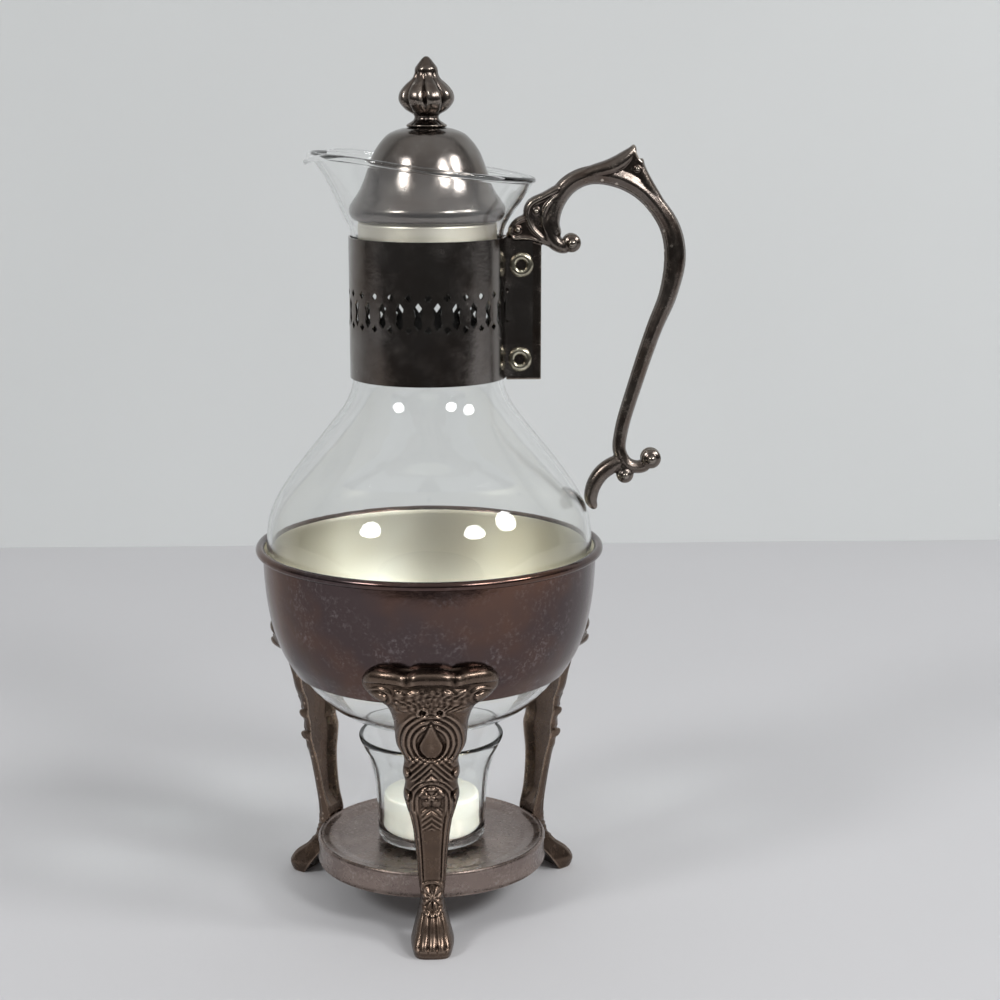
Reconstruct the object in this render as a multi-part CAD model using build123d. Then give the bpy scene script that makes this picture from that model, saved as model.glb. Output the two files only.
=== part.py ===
from build123d import *
import math
import os

# Coffee carafe on a candle warmer stand.
# Millimetres. The origin is on the carafe's axis, at floor level.
# +Z is up, +X points to the handle, and -Y to the front leg.

# Carafe glass: outer radius and height of each station, from the middle of the bottom up
glass_wall = 2.0
glass_bottom = 84.0
glass_outer = [
    (0, glass_bottom), (20, 84.4), (33, 87.2), (43.5, 92.6), (52.5, 100.6), (58.9, 110.0),
    (63.2, 120.0), (67.8, 135.0), (70.9, 150.0), (72.1, 165.0), (70.6, 179.0), (66.2, 189.0),
    (56.6, 202.8), (49.6, 211.6), (42.4, 220.6), (36.2, 229.2), (33.4, 236.0),
]
neck_radius = 32.9
neck_bottom = 240.0
neck_top = 301.5
mouth_start = 309.0
mouth_radius = 35.5
belly_height = 165.0

# Flared mouth: height at the axis, radius, tilt in degrees and reach of the pouring lip
mouth_sections = [(317.5, 39.9, 3.5, 0.6), (325.0, 43.6, 6.0, 2.4), (331.6, 47.6, 7.7, 5.6)]
lip_sharpness = 7
section_points = 24

# The blown glass is one piece on the real object. Here it is four, stacked face to face:
# name, and the height at which each begins. The last one runs past the rim.
glass_layers = [
    ("glass_body", 0.0), ("glass_shoulder", belly_height), ("glass_neck", neck_bottom), ("glass_mouth", mouth_start),
]
glass_end = 400.0

# Neck band: a pierced sheet with two flanges that hold the handle's tang
band_inner = 33.3
band_sheet = 0.8
band_bottom = 240.6
band_top = 301.5
flange_reach = 45.4
flange_top = 299.5
flange_corner = 4.0
flange_diamonds_apart = 6.6
pierced_columns = 26
slot_bottom = 264.4
slot_top = 276.2
slot_half_width = 1.85
slot_waist_half_width = 1.15
slot_shoulder_share = 0.55
diamond_rows = [264.6, 278.2]
diamond_radius = 1.65

# Handle: a ribbon is a list of (x, z, half width) along its middle line
tang_thickness = 3.0
tang_reach = 49.2
tang_bottom = 238.9
handle_depth = 8.4
leaf_corner = 0.8
arch = [
    (52.0, 305.5, 4.4), (53.8, 315.4, 4.4), (60.4, 323.6, 3.8), (69.8, 327.2, 4.0),
    (81.0, 326.9, 4.4), (91.4, 322.0, 4.4), (99.6, 313.6, 4.1), (105.3, 304.0, 4.4),
    (107.4, 292.0, 4.7), (104.6, 276.1, 4.1), (98.6, 260.7, 3.5), (91.6, 238.2, 3.2),
    (84.9, 216.0, 3.1), (84.0, 203.5, 3.4),
]
lower_scroll = [(84.4, 201.6, 3.4), (78.4, 199.0, 3.7), (73.4, 192.6, 3.3), (71.8, 186.0, 3.0), (73.4, 181.2, 1.5)]
lower_curl = [(84.6, 202.6, 3.4), (90.8, 200.4, 3.2), (96.0, 201.6, 3.6)]
upper_volute = [(52.6, 304.2, 4.4), (54.8, 299.4, 4.2), (60.4, 297.2, 4.0)]
volute_balls = [(61.6, 297.6, 4.7, 10.4), (97.9, 203.0, 4.7, 10.0), (87.0, 195.6, 3.6, 9.0)]
leaf_outline = [
    (34.8, 299.8), (37.2, 305.8), (40.9, 309.8), (42.0, 314.0), (46.0, 318.6), (51.4, 319.4),
    (56.6, 314.0), (56.4, 306.0), (52.0, 299.8),
]
thumb_outline = [
    (74.0, 330.6), (81.0, 334.4), (86.0, 338.8), (88.6, 340.5), (90.4, 337.8), (91.2, 335.2),
    (93.2, 333.6), (94.2, 328.0), (92.0, 322.0), (80.0, 326.0),
]

# Eyelet rivets, their axis along Y
rivet_centres = {"upper_rivet": (40.4, 289.1), "lower_rivet": (39.8, 248.0)}
eyelet_hole = 2.2
eyelet_shank = 3.0
eyelet_head = 5.4
eyelet_dome = 1.3

# Lid: outer radius and height of the dome's stations, from its middle out
lid_wall = 0.9
dome_top = 347.6
dome_outer = [
    (2.0, dome_top), (8.6, 347.5), (12.5, 346.6), (16.4, 344.9), (19.6, 341.8), (22.6, 337.4), (24.6, 332.8),
    (26.1, 328.4), (27.5, 324.6), (29.6, 320.4), (32.0, 317.0), (33.7, 314.0), (33.5, 311.2),
    (32.1, 309.3), (30.2, 308.6), (29.0, 308.5),
]
skirt_radius = 30.0
skirt_wall = 0.8
skirt_bottom = 284.0
skirt_top = 308.5
finial_outer = [
    (8.7, 347.8), (7.5, 349.2), (5.4, 351.2), (5.6, 352.7), (9.6, 355.7), (11.0, 359.0),
    (10.4, 362.3), (7.9, 365.7), (5.2, 368.6), (4.9, 371.6), (3.0, 374.4), (0, 377.3),
]
stud_radius = 1.5
stud_end = 340.6
washer_radius = 4.5
washer_thickness = 0.8
nut_across_flats = 5.5
nut_thickness = 2.4

# Stand bowl: outer radius and height of each station, from the open bottom to the rim
bowl_wall = 0.9
bowl_outer = [
    (60.9, 109.6), (62.9, 112.8), (66.2, 118.6), (69.9, 128.6), (72.2, 140.0), (73.3, 150.0), (73.7, 158.0),
    (73.7, 163.0),
]
rim_radius = 75.0
rim_bead = 2.0
rim_height = 164.5

# Burner tray: an inverted dish with a recessed middle
tray_radius = 51.8
tray_bottom = 18.9
tray_top = 29.6
tray_sheet = 1.0
tray_bead = 1.1
recess_depth = 1.2
recess_outer = 46.8
recess_inner = 42.8

# Legs: three, the first at the front
leg_azimuths = {"front_leg": -90, "right_leg": 30, "left_leg": 150}
seat_gap = 0.05
leg_sweep = 56
leg_side_outer = [
    (74.0, 128.4), (75.2, 120.0), (73.0, 110.0), (69.6, 100.0), (67.4, 90.0), (65.4, 76.0), (63.4, 62.0),
    (61.0, 46.0), (59.6, 32.0), (61.2, 21.0), (66.4, 13.6), (72.4, 9.0), (75.4, 4.4), (74.8, 0),
]
leg_side_inner = [
    (65.6, 0), (63.4, 3.0), (58.0, 10.4), (52.6, 16.4), (50.8, 22.0), (51.0, 30.6), (54.4, 40.0),
    (57.4, 60.0), (59.4, 78.0), (61.4, 94.0), (63.2, 106.0), (62.0, 116.0), (64.0, 128.4),
]
leg_half_outline = [
    (0, 128.4), (9.5, 127.0), (19.0, 127.4), (26.0, 125.8), (28.9, 121.6), (27.6, 117.0), (22.6, 114.0),
    (18.4, 109.6), (15.8, 103.0), (15.2, 94.0), (11.2, 86.0), (12.7, 79.6), (11.2, 75.0), (12.6, 69.6),
    (11.0, 64.6), (8.8, 57.0), (7.1, 44.0), (6.2, 30.0), (5.3, 19.0), (7.9, 10.0), (9.3, 5.0), (8.4, 0),
]
cabochon = (5.8, 3.2, 8.6)
cabochon_place = (68.0, 94.0)
lobe_boss = (4.6, 2.4, 3.4)
lobe_boss_place = (20.5, 71.6, 120.6)
rosettes = [(64.3, 70.0, 7.2), (60.2, 24.4, 5.4)]
rosette_height = 1.8

# Rivets through the bowl and screws through the tray
bowl_rivet_height = 121.0
bowl_rivet_tilt = -21.0
bowl_rivet_radius = 1.6
bowl_rivet_head = 3.0
head_gap = 0.25
bowl_rivet_head_thickness = 0.9
bowl_rivet_length = 4.0
bowl_wall_at_rivet = 67.3
tray_screw_height = 24.0
tray_screw_radius = 1.5
tray_screw_head = 2.8
tray_screw_head_thickness = 1.8
tray_screw_length = 5.2

# Candle cup and candle
cup_wall = 2.0
cup_floor = 4.0
cup_outer = [(24.3, 31.5), (24.7, 40.0), (25.3, 52.0), (26.6, 61.0), (28.8, 67.8), (31.4, 73.4), (32.8, 77.2)]
cup_base_radius = 24.3
cup_corner = 2.0
candle_radius = 21.6
candle_top = 50.0
candle_corner = 1.0
wick_radius = 0.9
wick_top = 57.0
tab_radius = 6.5
tab_thickness = 0.5

recess_height = tray_top - recess_depth
cup_inside = recess_height + cup_floor
parts = {}


def at(radius, height):
    """A point of the XZ plane."""
    return Vector(radius, 0, height)


def inset(stations, wall):
    """The stations moved by wall to the left of the way they run."""
    moved = []
    for i, (x, z) in enumerate(stations):
        before = stations[max(i - 1, 0)]
        after = stations[min(i + 1, len(stations) - 1)]
        run = Vector(after[0] - before[0], 0, after[1] - before[1]).normalized()
        moved.append((x - run.Z * wall, z + run.X * wall))
    return moved


def turned(edges):
    """Solid of revolution about Z of the closed outline that the edges make."""
    return revolve(make_face(edges), Axis.Z)


def turned_shell(stations, wall, round_end=True):
    """Revolved sheet: its outer curve through the stations, its inner one wall to the left."""
    inner = inset(stations, wall)
    if stations[0][0] == 0:
        inner[0] = (0, stations[0][1] + wall)
    outer_curve = Spline(*[at(*p) for p in stations])
    inner_curve = Spline(*[at(*p) for p in reversed(inner)])
    start = Line(at(*inner[0]), at(*stations[0]))
    end = Line(at(*stations[-1]), at(*inner[-1]))
    if round_end:
        run = Vector(end % 0.5).cross(Vector(0, 1, 0)).normalized()
        tip = (end @ 0.5) + run * wall * 0.45
        end = ThreePointArc(end @ 0, tip, end @ 1)
    return turned([outer_curve, end, inner_curve, start])


def mouth_section(height, radius, tilt, lip, wall):
    """A closed section of the mouth, tilted up at the lip side."""
    points = []
    for k in range(section_points):
        angle = 2 * math.pi * k / section_points
        reach = ((1 - math.cos(angle)) / 2) ** lip_sharpness
        r = radius - wall + lip * reach
        x, y = r * math.cos(angle), r * math.sin(angle)
        slope = math.radians(tilt)
        points.append(Vector(x * math.cos(slope), y, height - x * math.sin(slope)))
    return Face(Wire([Spline(*points, periodic=True)]))


def mouth_solid(wall):
    """The mouth's outer or inner body, from the throat to the rim."""
    throat = Pos(0, 0, mouth_start) * Circle(mouth_radius - wall).face()
    sections = [throat]
    for height, radius, tilt, lip in mouth_sections:
        sections.append(mouth_section(height, radius, tilt, lip, wall))
    return loft(sections)


def carafe_glass():
    neck = [(neck_radius, neck_bottom + k * (neck_top - neck_bottom) / 4) for k in range(5)]
    throat = [(33.7, 305.4), (mouth_radius, mouth_start)]
    body = turned_shell(glass_outer + neck + throat, glass_wall, round_end=False)
    mouth = mouth_solid(0) - mouth_solid(glass_wall)
    above = glass_layer(mouth_start, glass_end)
    return (body - above) + mouth


def glass_layer(low, high):
    """A thick disc round the whole carafe between two heights."""
    return Pos(0, 0, low) * extrude(Circle(2 * neck_top), high - low)


def ribbon(stations, depth, corner):
    """A flat bar along a curved middle line in the XZ plane, with rounded edges."""
    left = []
    right = []
    for i, (x, z, half) in enumerate(stations):
        before = stations[max(i - 1, 0)]
        after = stations[min(i + 1, len(stations) - 1)]
        run = Vector(after[0] - before[0], 0, after[1] - before[1]).normalized()
        left.append(Vector(x - run.Z * half, 0, z + run.X * half))
        right.append(Vector(x + run.Z * half, 0, z - run.X * half))
    outline = [Spline(*left), Line(left[-1], right[-1]), Spline(*reversed(right)), Line(right[0], left[0])]
    return rounded_plate(outline, depth, corner)


def rounded_plate(outline, depth, corner):
    """The outline, drawn in the XZ plane, as a plate centred on Y=0 with its face edges chamfered."""
    face = make_face(outline)
    plate = extrude(face, depth / 2, both=True)
    rims = plate.edges().group_by(Axis.Y)
    return chamfer(rims[0] + rims[-1], corner)


def handle():
    tang_width = tang_reach - band_inner - band_sheet / 2
    tang_height = leaf_outline[0][1] + 3 - tang_bottom
    tang_middle = Pos(tang_reach - tang_width / 2, 0, tang_bottom + tang_height / 2)
    body = tang_middle * Box(tang_width, tang_thickness, tang_height)
    body += ribbon(arch, handle_depth, 1.6)
    body += ribbon(upper_volute, handle_depth, 1.6)
    body += ribbon(lower_scroll, handle_depth - 1.2, 1.2)
    body += ribbon(lower_curl, handle_depth - 1.2, 1.4)
    for outline, depth in ((leaf_outline, handle_depth - 1), (thumb_outline, handle_depth + 2)):
        body += rounded_plate([Polyline(*[at(*p) for p in outline], close=True)], depth, leaf_corner)
    for x, z, radius, depth in volute_balls:
        boss = extrude(Plane.XZ * Pos(x, z) * Circle(radius), depth / 2, both=True)
        body += chamfer(boss.edges().filter_by(GeomType.CIRCLE), 1.6)
    for x, z in rivet_centres.values():
        body -= extrude(Plane.XZ * Pos(x, z) * Circle(eyelet_shank + seat_gap), tang_thickness, both=True)
    return body


def neck_band():
    height = band_top - band_bottom
    middle = (band_top + band_bottom) / 2
    outer = band_inner + band_sheet
    band = Pos(0, 0, middle) * (Cylinder(outer, height) - Cylinder(band_inner, height))
    band -= Pos(outer, 0, middle) * Box(8, tang_thickness, height)
    flange_root = band_inner - 0.1
    flange_middle = Pos((flange_root + flange_reach) / 2, 0, (band_bottom + flange_top) / 2)
    flange = flange_middle * Box(flange_reach - flange_root, band_sheet, flange_top - band_bottom)
    corners = flange.edges().filter_by(Axis.Y).group_by(Axis.X)[-1].sort_by(Axis.Z)
    flange = fillet(corners[-1], flange_corner)
    for side in (-1, 1):
        band += Pos(0, side * (tang_thickness + band_sheet) / 2, 0) * flange
    band -= Pos(0, 0, middle) * Cylinder(band_inner, height)
    band -= piercings()
    for x, z in rivet_centres.values():
        band -= extrude(Plane.XZ * Pos(x, z) * Circle(eyelet_shank + seat_gap), tang_thickness, both=True)
    return band


def slot_sketch():
    """Hourglass piercing, centred on its waist."""
    tip = (slot_top - slot_bottom) / 2
    shoulder = tip * slot_shoulder_share
    wide = slot_half_width
    waist = slot_waist_half_width
    return Polygon(
        (0, tip), (wide, shoulder), (waist, 0), (wide, -shoulder),
        (0, -tip), (-wide, -shoulder), (-waist, 0), (-wide, shoulder),
    )


def piercings():
    """The slots and the diamonds between them, round the band and on its flanges."""
    cuts = []
    pitch = 360 / pierced_columns
    slot_middle = (slot_top + slot_bottom) / 2
    for k in range(pierced_columns * 2):
        angle = -90 + k * pitch / 2
        if abs((angle + 180) % 360 - 180) < pitch * 0.8:
            continue
        out = Vector(1, 0, 0).rotate(Axis.Z, angle)
        side = Vector(0, 1, 0).rotate(Axis.Z, angle)
        if k % 2 == 0:
            plane = Plane(origin=out * band_inner + Vector(0, 0, slot_middle), x_dir=side, z_dir=out)
            cuts.append(extrude(plane * slot_sketch(), 3, both=True))
            continue
        for row in diamond_rows:
            plane = Plane(origin=out * band_inner + Vector(0, 0, row), x_dir=side, z_dir=out)
            cuts.append(extrude(plane * RegularPolygon(diamond_radius, 4), 3, both=True))
    flange_middle = (band_inner + band_sheet + flange_reach) / 2
    for x in (flange_middle - flange_diamonds_apart / 2, flange_middle + flange_diamonds_apart / 2):
        for row in diamond_rows:
            cuts.append(extrude(Plane.XZ * Pos(x, row) * RegularPolygon(diamond_radius, 4), tang_thickness, both=True))
    cuts.append(extrude(Plane.XZ * Pos(flange_middle, slot_middle) * slot_sketch(), tang_thickness, both=True))
    return cuts


def eyelet(x, z):
    """Hollow rivet with a domed ring on each side of the flanges."""
    grip = tang_thickness / 2 + band_sheet
    ring = (eyelet_head + eyelet_hole) / 2
    corners = [(eyelet_hole, 0), (eyelet_shank, 0), (eyelet_shank, grip), (eyelet_head, grip)]
    rim = ThreePointArc((eyelet_head, grip), (ring, grip + eyelet_dome), (eyelet_hole, grip + eyelet_dome * 0.4))
    half = make_face([Polyline(*corners), rim, Line(rim @ 1, (eyelet_hole, 0))])
    tube = revolve(half, Axis.Y)
    tube += mirror(tube, Plane.XZ)
    return Pos(x, 0, z) * tube


def lid_finial():
    profile = Spline(*[at(*p) for p in finial_outer])
    foot = finial_outer[0]
    stud = [at(*foot), at(stud_radius, foot[1]), at(stud_radius, stud_end), at(0, stud_end), at(0, finial_outer[-1][1])]
    return turned([profile, Polyline(*stud)])


def lid_skirt():
    height = skirt_top - skirt_bottom - seat_gap
    sleeve = Cylinder(skirt_radius, height) - Cylinder(skirt_radius - skirt_wall, height)
    return Pos(0, 0, skirt_bottom + height / 2) * sleeve


def finial_washer():
    top = dome_top - lid_wall - 0.02
    ring = Cylinder(washer_radius, washer_thickness) - Cylinder(stud_radius + seat_gap, washer_thickness)
    return Pos(0, 0, top - washer_thickness / 2) * ring


def finial_nut():
    top = dome_top - lid_wall - washer_thickness - 0.04
    blank = extrude(RegularPolygon(nut_across_flats / 2, 6, major_radius=False), -nut_thickness)
    blank -= extrude(Circle(stud_radius + seat_gap), -nut_thickness)
    return Pos(0, 0, top) * blank


def stand_bowl():
    shell = turned_shell(bowl_outer, bowl_wall, round_end=False)
    shell += Pos(0, 0, rim_height) * Torus(rim_radius, rim_bead)
    return shell - rivet_shanks(seat_gap)


def rivet_plane(azimuth):
    """Where a bowl rivet crosses the bowl's outer face, its Z pointing out through the leg."""
    tilt = math.radians(bowl_rivet_tilt)
    out = Vector(math.cos(tilt), 0, math.sin(tilt)).rotate(Axis.Z, azimuth)
    origin = Vector(bowl_wall_at_rivet, 0, bowl_rivet_height).rotate(Axis.Z, azimuth)
    return Plane(origin=origin, z_dir=out)


def rivet_shanks(clearance):
    shanks = []
    for azimuth in leg_azimuths.values():
        plane = rivet_plane(azimuth).offset(-bowl_wall - head_gap)
        shanks.append(extrude(plane * Circle(bowl_rivet_radius + clearance), bowl_rivet_length + bowl_wall + head_gap))
    return shanks


def bowl_rivets():
    rivets = []
    for azimuth, shank in zip(leg_azimuths.values(), rivet_shanks(0)):
        seat = rivet_plane(azimuth).offset(-bowl_wall - head_gap)
        head = extrude(seat * Circle(bowl_rivet_head), -bowl_rivet_head_thickness)
        rivets.append(shank + chamfer(head.edges().filter_by(GeomType.CIRCLE), 0.25))
    return Compound(children=rivets)


def burner_tray():
    wall_inner = tray_radius - tray_sheet
    ring_bottom = tray_top - tray_sheet
    outline = Polyline(
        at(tray_radius, tray_bottom), at(tray_radius, tray_top), at(recess_outer, tray_top),
        at(recess_inner, recess_height), at(0, recess_height), at(0, recess_height - tray_sheet),
        at(recess_inner - 0.5, recess_height - tray_sheet), at(recess_outer - 0.5, ring_bottom),
        at(wall_inner, ring_bottom), at(wall_inner, tray_bottom), at(tray_radius, tray_bottom),
    )
    tray = turned([outline])
    tray += Pos(0, 0, tray_top - tray_bead + 0.3) * Torus(tray_radius - tray_bead, tray_bead)
    return tray - screw_shanks(seat_gap)


def screw_shanks(clearance):
    shanks = []
    for azimuth in leg_azimuths.values():
        out = Vector(1, 0, 0).rotate(Axis.Z, azimuth)
        seat = out * (tray_radius - tray_sheet - head_gap) + Vector(0, 0, tray_screw_height)
        plane = Plane(origin=seat, z_dir=out)
        shanks.append(extrude(plane * Circle(tray_screw_radius + clearance), tray_screw_length))
    return shanks


def tray_screws():
    screws = []
    for azimuth, shank in zip(leg_azimuths.values(), screw_shanks(0)):
        out = Vector(1, 0, 0).rotate(Axis.Z, azimuth)
        seat = out * (tray_radius - tray_sheet - head_gap) + Vector(0, 0, tray_screw_height)
        head = extrude(Plane(origin=seat, z_dir=out) * Circle(tray_screw_head), -tray_screw_head_thickness)
        head = chamfer(head.edges().filter_by(GeomType.CIRCLE).sort_by_distance((0, 0, 0))[0], 0.5)
        screws.append(shank + head)
    return Compound(children=screws)


def front_leg():
    """The leg at the front: its side profile turned about Z, cut to its front outline."""
    side = make_face([
        Spline(*[at(*p) for p in leg_side_outer]),
        Line(at(*leg_side_outer[-1]), at(*leg_side_inner[0])),
        Spline(*[at(*p) for p in leg_side_inner]),
        Line(at(*leg_side_inner[-1]), at(*leg_side_outer[0])),
    ])
    swept = Rot(0, 0, -90 - leg_sweep / 2) * revolve(side, Axis.Z, leg_sweep)
    right = [Vector(t, 0, z) for t, z in leg_half_outline]
    left = [Vector(-t, 0, z) for t, z in reversed(leg_half_outline)]
    outline = make_face([Spline(*right), Line(right[-1], left[0]), Spline(*left)])
    leg = swept & (Pos(0, -40, 0) * extrude(outline, 60, dir=(0, -1, 0)))
    radius, height = cabochon_place
    leg += Pos(0, -radius, height) * scale(Sphere(1), cabochon)
    across, radius, height = lobe_boss_place
    for side_sign in (-1, 1):
        turn = math.degrees(math.asin(across / radius)) * side_sign
        leg += Rot(0, 0, turn) * Pos(0, -radius - 1.4, height) * scale(Sphere(1), lobe_boss)
    for radius, height, size in rosettes:
        disc = Plane(origin=(0, -radius + 2, height), z_dir=(0, -1, 0)) * Circle(size)
        leg += chamfer(extrude(disc, rosette_height + 2).edges().sort_by(Axis.Y)[0], 1.0)
    bowl_side = Spline(*[at(radius + seat_gap, height) for radius, height in bowl_outer])
    closing = Polyline(bowl_side @ 1, at(0, bowl_outer[-1][1]), at(0, bowl_outer[0][1]), bowl_side @ 0)
    leg -= turned([bowl_side, closing])
    return leg - extrude(Circle(tray_radius + seat_gap), tray_top + seat_gap)


def candle_cup():
    side = turned_shell(cup_outer, cup_wall)
    base = Pos(0, 0, recess_height + cup_floor / 2) * Cylinder(cup_base_radius, cup_floor)
    base = chamfer(base.edges().group_by(Axis.Z)[0], cup_corner)
    return side + base


def candle():
    height = candle_top - cup_inside - seat_gap
    wax = Cylinder(candle_radius, height)
    wax = fillet(wax.edges().group_by(Axis.Z)[-1], candle_corner)
    wax = Pos(0, 0, cup_inside + seat_gap + height / 2) * wax
    wax -= Pos(0, 0, candle_top) * Cylinder(wick_radius, height * 3)
    pocket = tab_thickness + seat_gap
    return wax - Pos(0, 0, cup_inside + seat_gap + pocket / 2) * Cylinder(tab_radius + seat_gap, pocket)


def wick():
    bottom = cup_inside + seat_gap + tab_thickness
    height = wick_top - bottom
    return Pos(0, 0, bottom + height / 2) * Cylinder(wick_radius, height)


def wick_tab():
    return Pos(0, 0, cup_inside + seat_gap + tab_thickness / 2) * Cylinder(tab_radius, tab_thickness)


def build_all():
    whole_glass = carafe_glass()
    tops = [start for name, start in glass_layers[1:]] + [glass_end]
    for (name, start), top in zip(glass_layers, tops):
        parts[name] = whole_glass & glass_layer(start, top)
    parts["neck_band"] = neck_band()
    parts["handle"] = handle()
    for name, (x, z) in rivet_centres.items():
        parts[name] = eyelet(x, z)
    parts["lid_dome"] = turned_shell(dome_outer, -lid_wall, round_end=False)
    parts["lid_skirt"] = lid_skirt()
    parts["lid_finial"] = lid_finial()
    parts["finial_washer"] = finial_washer()
    parts["finial_nut"] = finial_nut()
    parts["stand_bowl"] = stand_bowl()
    parts["bowl_rivets"] = bowl_rivets()
    leg = front_leg()
    for name, azimuth in leg_azimuths.items():
        turned_leg = Rot(0, 0, azimuth + 90) * leg
        parts[name] = turned_leg - rivet_shanks(seat_gap) - screw_shanks(seat_gap)
    parts["burner_tray"] = burner_tray()
    parts["tray_screws"] = tray_screws()
    parts["candle_cup"] = candle_cup()
    parts["candle"] = candle()
    parts["wick"] = wick()
    parts["wick_tab"] = wick_tab()


build_all()
os.makedirs("parts", exist_ok=True)
for name, solid in parts.items():
    export_step(solid, f"parts/{name}.step")
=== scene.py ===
# %% [markdown]
# # A glass coffee carafe on its candle warmer
#
# The real thing is a blown glass bottle with a pierced band of silver-plated sheet round its neck, a
# cast scroll handle, a lid that lifts out, and a stand: an open bowl on three cast legs, with a small
# tray for a candle cup. The plate is old and tarnished, so most of the metal is nearly black with
# bright lines where it was rubbed. This lesson loads the engineering model and dresses each part.

# %% The engineering frame
import math

import bmesh
import bpy
import numpy as np
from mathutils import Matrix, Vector


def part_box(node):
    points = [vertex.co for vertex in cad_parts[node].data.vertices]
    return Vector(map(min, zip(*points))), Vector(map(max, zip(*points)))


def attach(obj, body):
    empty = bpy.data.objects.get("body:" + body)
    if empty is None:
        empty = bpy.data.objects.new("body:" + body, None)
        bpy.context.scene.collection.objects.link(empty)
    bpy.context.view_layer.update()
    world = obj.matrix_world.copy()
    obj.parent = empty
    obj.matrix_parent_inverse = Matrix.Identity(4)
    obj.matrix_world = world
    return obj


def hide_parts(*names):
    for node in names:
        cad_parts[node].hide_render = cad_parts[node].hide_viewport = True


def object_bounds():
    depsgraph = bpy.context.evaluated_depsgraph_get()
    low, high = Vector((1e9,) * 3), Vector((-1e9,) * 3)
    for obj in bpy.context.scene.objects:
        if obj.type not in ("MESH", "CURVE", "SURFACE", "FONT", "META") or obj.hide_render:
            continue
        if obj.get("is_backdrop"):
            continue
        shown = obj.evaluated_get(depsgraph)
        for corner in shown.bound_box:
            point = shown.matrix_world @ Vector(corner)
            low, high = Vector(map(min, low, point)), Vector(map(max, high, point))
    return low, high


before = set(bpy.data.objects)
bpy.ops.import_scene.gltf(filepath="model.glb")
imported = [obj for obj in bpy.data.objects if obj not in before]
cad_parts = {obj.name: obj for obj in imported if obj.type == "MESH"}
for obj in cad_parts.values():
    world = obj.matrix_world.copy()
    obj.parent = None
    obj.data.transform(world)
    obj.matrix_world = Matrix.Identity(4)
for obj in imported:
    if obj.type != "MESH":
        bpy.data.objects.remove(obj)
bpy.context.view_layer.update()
MM = 0.001

# %% [markdown]
# ## The camera
#
# The picture was taken from about 0.9 m with a long lens, a little above the rim of the mouth and
# tilted down 12 degrees. A camera fitted to the circles of the object gives these numbers.

# %% Camera at the picture's angle
CAMERA_PLACE = (0.0, -0.8943, 0.3755)
CAMERA_TILT = 0.21
CAMERA_TURN = 0.035
CAMERA_LENS = 74.25

camera_data = bpy.data.cameras.new("camera")
camera_data.sensor_width = 36
camera_data.lens = CAMERA_LENS
camera_data.clip_start = 0.05
camera = bpy.data.objects.new("camera", camera_data)
camera.location = CAMERA_PLACE
camera.rotation_euler = (math.pi / 2 - CAMERA_TILT, 0, -CAMERA_TURN)
bpy.context.scene.collection.objects.link(camera)
bpy.context.scene.camera = camera
bpy.context.scene.view_settings.view_transform = "Standard"

# %% [markdown]
# ## Shader maths in Python
#
# A node tree is easier to read as an expression. The class Wire holds one output socket, and adding,
# multiplying or clamping a Wire adds the Math nodes that do it. The class Finish makes a material,
# adds any other node in one call, and joins the result to the Principled shader.


# %% Shader helpers
class Wire:
    """One shader output. Arithmetic on it adds Math nodes."""

    def __init__(self, finish, socket):
        self.finish = finish
        self.socket = socket

    def math(self, operation, first, second):
        return self.finish.node("ShaderNodeMath", {"operation": operation}, {0: first, 1: second})

    def __add__(self, other):
        return self.math("ADD", self, other)

    def __radd__(self, other):
        return self.math("ADD", other, self)

    def __rsub__(self, other):
        return self.math("SUBTRACT", other, self)

    def __mul__(self, other):
        return self.math("MULTIPLY", self, other)

    def clamp(self, low, high):
        """The value stretched so that low becomes 0 and high becomes 1, and held between them."""
        inputs = {"Value": self, "From Min": low, "From Max": high}
        return self.finish.node("ShaderNodeMapRange", {"clamp": True}, inputs)


class Finish:
    """A material whose nodes are added by calls."""

    def __init__(self, name):
        self.material = bpy.data.materials.new(name)
        self.material.use_nodes = True
        self.tree = self.material.node_tree
        self.shader = self.tree.nodes["Principled BSDF"]
        self.where = self.node("ShaderNodeTexCoord", output="Object")

    def node(self, kind, settings=None, inputs=None, output=0):
        made = self.tree.nodes.new(kind)
        for key, value in (settings or {}).items():
            setattr(made, key, value)
        for key, value in (inputs or {}).items():
            self.join(value, made.inputs[key])
        return Wire(self, made.outputs[output])

    def join(self, value, socket):
        if isinstance(value, Wire):
            self.tree.links.new(value.socket, socket)
        else:
            socket.default_value = value

    def stretched(self, scale):
        return self.node("ShaderNodeMapping", inputs={"Vector": self.where, "Scale": scale}, output="Vector")

    def noise(self, scale, detail=4.0, roughness=0.55, vector=None):
        inputs = {"Vector": vector or self.where, "Scale": scale, "Detail": detail, "Roughness": roughness}
        return self.node("ShaderNodeTexNoise", inputs=inputs, output="Fac")

    def mix(self, amount, first, second):
        made = self.tree.nodes.new("ShaderNodeMix")
        made.data_type = "RGBA"
        for socket, value in ((made.inputs[0], amount), (made.inputs[6], first), (made.inputs[7], second)):
            self.join(value, socket)
        return Wire(self, made.outputs[2])

    def bump(self, height, strength, distance):
        inputs = {"Height": height, "Strength": strength, "Distance": distance}
        return self.node("ShaderNodeBump", inputs=inputs, output="Normal")

    def edge(self):
        """High on ridges and low in hollows."""
        return self.node("ShaderNodeNewGeometry", output="Pointiness")

    def set(self, **values):
        for name, value in values.items():
            self.join(value, self.shader.inputs[name.replace("_", " ")])
        return self.material


def colour(red, green, blue):
    """A colour as it looks on screen, as a shader takes it."""
    linear = []
    for part in (red, green, blue):
        linear.append(part / 12.92 if part <= 0.04045 else ((part + 0.055) / 1.055) ** 2.4)
    return (*linear, 1.0)


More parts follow.
